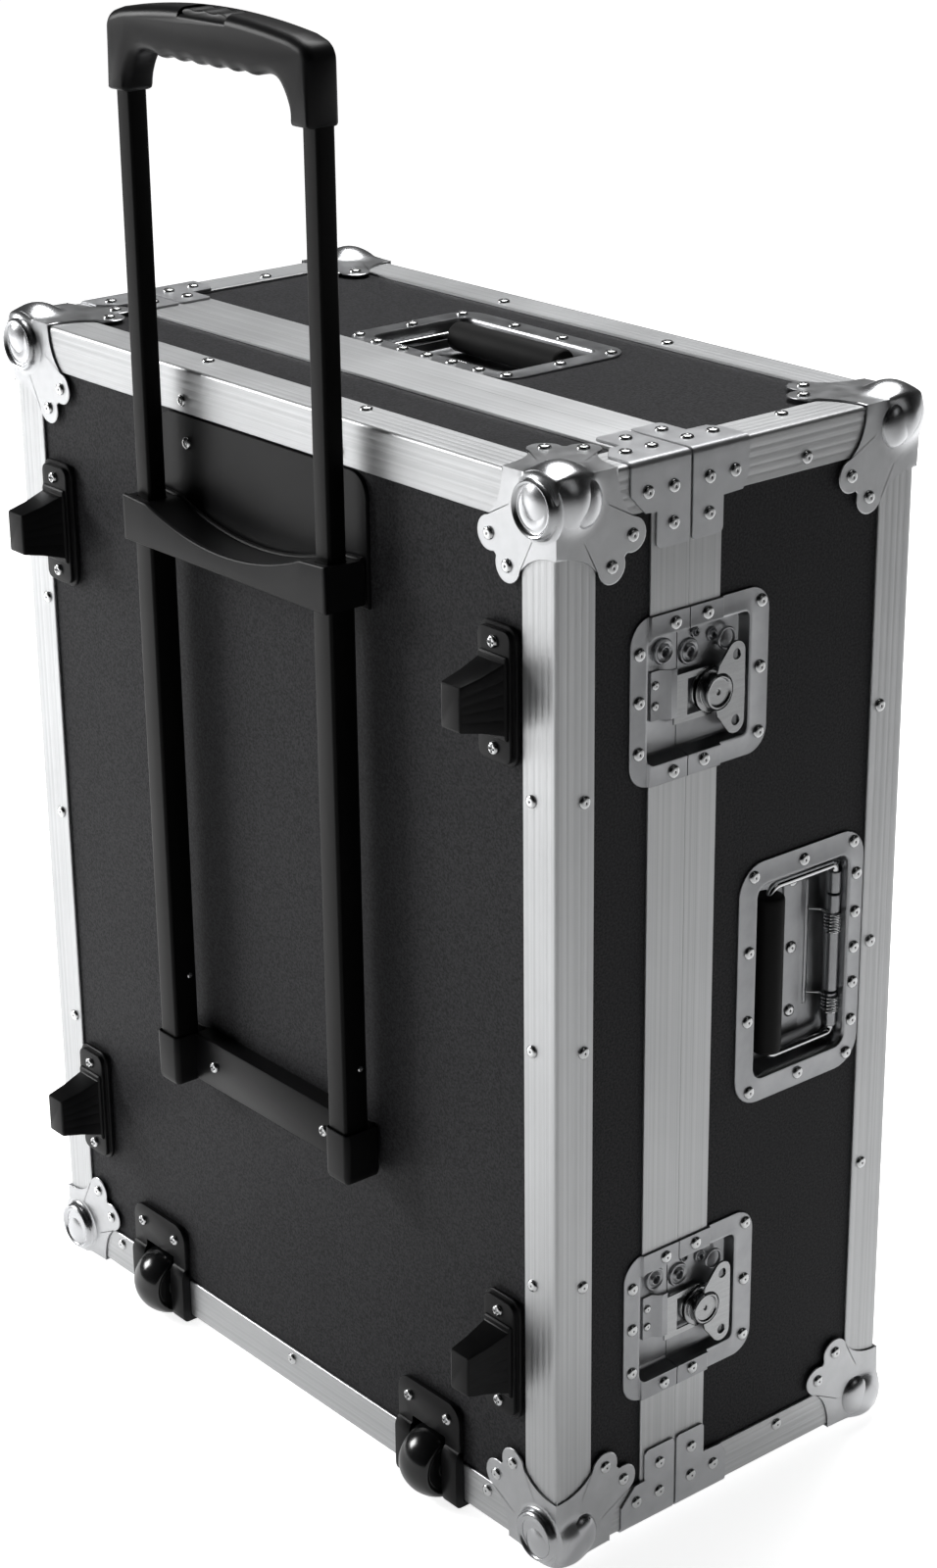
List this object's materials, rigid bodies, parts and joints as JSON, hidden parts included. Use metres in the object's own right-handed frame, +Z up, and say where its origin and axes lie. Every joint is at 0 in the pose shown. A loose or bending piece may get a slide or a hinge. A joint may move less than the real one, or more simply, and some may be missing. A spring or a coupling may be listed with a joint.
{
  "type": "mixer flight case",
  "caption": "Upright flight case for a mixer: shallow tray with feet, wheels and a pull-out handle, and a deep lift-off lid with butterfly latches and folding carry handles.",
  "frame": {"origin": "centre of the bounding box at its lowest level, under the case where its lower ball corners rest", "axes": "+Z up, +X to the side with the side carry handle, +Y from the trolley face towards the lid's far face"},
  "size_m": [0.5796, 0.3418, 0.9615],
  "materials": {
    "laminated_board": "black laminate with a fine grain",
    "foam": "matt open-cell foam",
    "aluminium_profile": "satin with fine lengthwise ribs",
    "chromed_corner": "bright plated ball, satin flange",
    "wheel_rubber": "matt tread",
    "grip_rubber": "matt",
    "black_plastic": "fine moulded texture",
    "painted_tube": "satin black",
    "chromed_wire": "bright",
    "plated_steel": "bright zinc plate"
  },
  "bodies": {
    "tray": {"foot_bottom_left": "black_plastic", "foot_bottom_right": "black_plastic", "foot_top_left": "black_plastic", "foot_top_right": "black_plastic", "latch_keeper_dish_lower_left": "plated_steel", "latch_keeper_dish_lower_right": "plated_steel", "latch_keeper_dish_upper_left": "plated_steel", "latch_keeper_dish_upper_right": "plated_steel", "tray_ball_corner_bottom_left": "chromed_corner", "tray_ball_corner_bottom_right": "chromed_corner", "tray_ball_corner_top_left": "chromed_corner", "tray_ball_corner_top_right": "chromed_corner", "tray_bottom_edge_middle": "aluminium_profile", "tray_box": "laminated_board", "tray_closure_rim": "aluminium_profile", "tray_edge_frame": "aluminium_profile", "tray_foam_lining": "foam", "trolley_backing_plate": "black_plastic", "trolley_bottom_bracket": "black_plastic", "trolley_collar": "black_plastic", "trolley_outer_tube_left": "painted_tube", "trolley_outer_tube_right": "painted_tube", "wheel_housing_left": "black_plastic", "wheel_housing_right": "black_plastic"},
    "lid": {"latch_lid_dish_lower_left": "plated_steel", "latch_lid_dish_lower_right": "plated_steel", "latch_lid_dish_upper_left": "plated_steel", "latch_lid_dish_upper_right": "plated_steel", "lid_ball_corner_bottom_left": "chromed_corner", "lid_ball_corner_bottom_right": "chromed_corner", "lid_ball_corner_top_left": "chromed_corner", "lid_ball_corner_top_right": "chromed_corner", "lid_box": "laminated_board", "lid_closure_rim": "aluminium_profile", "lid_edge_frame": "aluminium_profile", "lid_foam_lining": "foam", "side_handle_dish": "plated_steel", "top_handle_dish": "plated_steel"},
    "trolley_handle": {"handle_grip": "black_plastic", "inner_tube_left": "painted_tube", "inner_tube_right": "painted_tube"},
    "release_button": {"release_button": "black_plastic"},
    "wheel_left": {"wheel_left": "wheel_rubber"},
    "wheel_right": {"wheel_right": "wheel_rubber"},
    "side_handle": {"side_handle_bail": "chromed_wire", "side_handle_rubber": "grip_rubber"},
    "top_handle": {"top_handle_bail": "chromed_wire", "top_handle_rubber": "grip_rubber"},
    "latch_hook_lower_left": {"latch_hook_lower_left": "plated_steel"},
    "latch_hook_lower_right": {"latch_hook_lower_right": "plated_steel"},
    "latch_hook_upper_left": {"latch_hook_upper_left": "plated_steel"},
    "latch_hook_upper_right": {"latch_hook_upper_right": "plated_steel"},
    "latch_rotor_lower_left": {"latch_rotor_lower_left": "plated_steel"},
    "latch_rotor_lower_right": {"latch_rotor_lower_right": "plated_steel"},
    "latch_rotor_upper_left": {"latch_rotor_upper_left": "plated_steel"},
    "latch_rotor_upper_right": {"latch_rotor_upper_right": "plated_steel"},
    "latch_wing_lower_left": {"latch_wing_lower_left": "plated_steel"},
    "latch_wing_lower_right": {"latch_wing_lower_right": "plated_steel"},
    "latch_wing_upper_left": {"latch_wing_upper_left": "plated_steel"},
    "latch_wing_upper_right": {"latch_wing_upper_right": "plated_steel"}
  },
  "joints": [
    {"name": "lid_lift", "type": "slide", "parent": "tray", "child": "lid", "axis": [0, 1, 0], "range_m": [0, 0.25]},
    {"name": "handle_slide", "type": "slide", "parent": "tray", "child": "trolley_handle", "axis": [0, 0, 1], "range_m": [-0.255, 0]},
    {"name": "button_press", "type": "slide", "parent": "trolley_handle", "child": "release_button", "axis": [0, 0, -1], "range_m": [0, 0.0035], "stiffness_N_per_m": 900, "springref_m": -0.003},
    {"name": "wheel_left_spin", "type": "hinge", "parent": "tray", "child": "wheel_left", "pos_m": [-0.1565, -0.1289, 0.0261], "axis": [1, 0, 0], "continuous": true},
    {"name": "wheel_right_spin", "type": "hinge", "parent": "tray", "child": "wheel_right", "pos_m": [0.1565, -0.1289, 0.0261], "axis": [1, 0, 0], "continuous": true},
    {"name": "latch_turn_upper_left", "type": "hinge", "parent": "lid", "child": "latch_rotor_upper_left", "pos_m": [-0.281, -0.0034, 0.5753], "axis": [-1, 0, 0], "range_deg": [0, 180]},
    {"name": "latch_fold_upper_left", "type": "hinge", "parent": "latch_rotor_upper_left", "child": "latch_wing_upper_left", "pos_m": [-0.2813, -0.0034, 0.5753], "axis": [0, 0, 1], "range_deg": [0, 90]},
    {"name": "latch_hook_slide_upper_left", "type": "slide", "parent": "lid", "child": "latch_hook_upper_left", "axis": [0, 1, 0], "range_m": [0, 0.0081]},
    {"name": "latch_turn_upper_right", "type": "hinge", "parent": "lid", "child": "latch_rotor_upper_right", "pos_m": [0.281, -0.0034, 0.5753], "axis": [1, 0, 0], "range_deg": [0, 180]},
    {"name": "latch_fold_upper_right", "type": "hinge", "parent": "latch_rotor_upper_right", "child": "latch_wing_upper_right", "pos_m": [0.2813, -0.0034, 0.5753], "axis": [0, 0, -1], "range_deg": [0, 90]},
    {"name": "latch_hook_slide_upper_right", "type": "slide", "parent": "lid", "child": "latch_hook_upper_right", "axis": [0, 1, 0], "range_m": [0, 0.0081]},
    {"name": "latch_turn_lower_left", "type": "hinge", "parent": "lid", "child": "latch_rotor_lower_left", "pos_m": [-0.281, -0.0034, 0.1498], "axis": [-1, 0, 0], "range_deg": [0, 180]},
    {"name": "latch_fold_lower_left", "type": "hinge", "parent": "latch_rotor_lower_left", "child": "latch_wing_lower_left", "pos_m": [-0.2813, -0.0034, 0.1498], "axis": [0, 0, 1], "range_deg": [0, 90]},
    {"name": "latch_hook_slide_lower_left", "type": "slide", "parent": "lid", "child": "latch_hook_lower_left", "axis": [0, 1, 0], "range_m": [0, 0.0081]},
    {"name": "latch_turn_lower_right", "type": "hinge", "parent": "lid", "child": "latch_rotor_lower_right", "pos_m": [0.281, -0.0034, 0.1498], "axis": [1, 0, 0], "range_deg": [0, 180]},
    {"name": "latch_fold_lower_right", "type": "hinge", "parent": "latch_rotor_lower_right", "child": "latch_wing_lower_right", "pos_m": [0.2813, -0.0034, 0.1498], "axis": [0, 0, -1], "range_deg": [0, 90]},
    {"name": "latch_hook_slide_lower_right", "type": "slide", "parent": "lid", "child": "latch_hook_lower_right", "axis": [0, 1, 0], "range_m": [0, 0.0081]},
    {"name": "side_handle_swing", "type": "hinge", "parent": "lid", "child": "side_handle", "pos_m": [0.2727, 0.1133, 0.3688], "axis": [0, 0, 1], "range_deg": [0, 90], "stiffness_Nm_per_rad": 0.3, "springref_deg": -45.84},
    {"name": "top_handle_swing", "type": "hinge", "parent": "lid", "child": "top_handle", "pos_m": [0, 0.0164, 0.7205], "axis": [1, 0, 0], "range_deg": [0, 90], "stiffness_Nm_per_rad": 0.3, "springref_deg": -45.84}
  ],
  "couplings": [
    {"joint": "latch_hook_slide_upper_left", "follows": "latch_turn_upper_left", "m_per_rad": 0.002546},
    {"joint": "latch_hook_slide_upper_right", "follows": "latch_turn_upper_right", "m_per_rad": 0.002546},
    {"joint": "latch_hook_slide_lower_left", "follows": "latch_turn_lower_left", "m_per_rad": 0.002546},
    {"joint": "latch_hook_slide_lower_right", "follows": "latch_turn_lower_right", "m_per_rad": 0.002546}
  ]
}
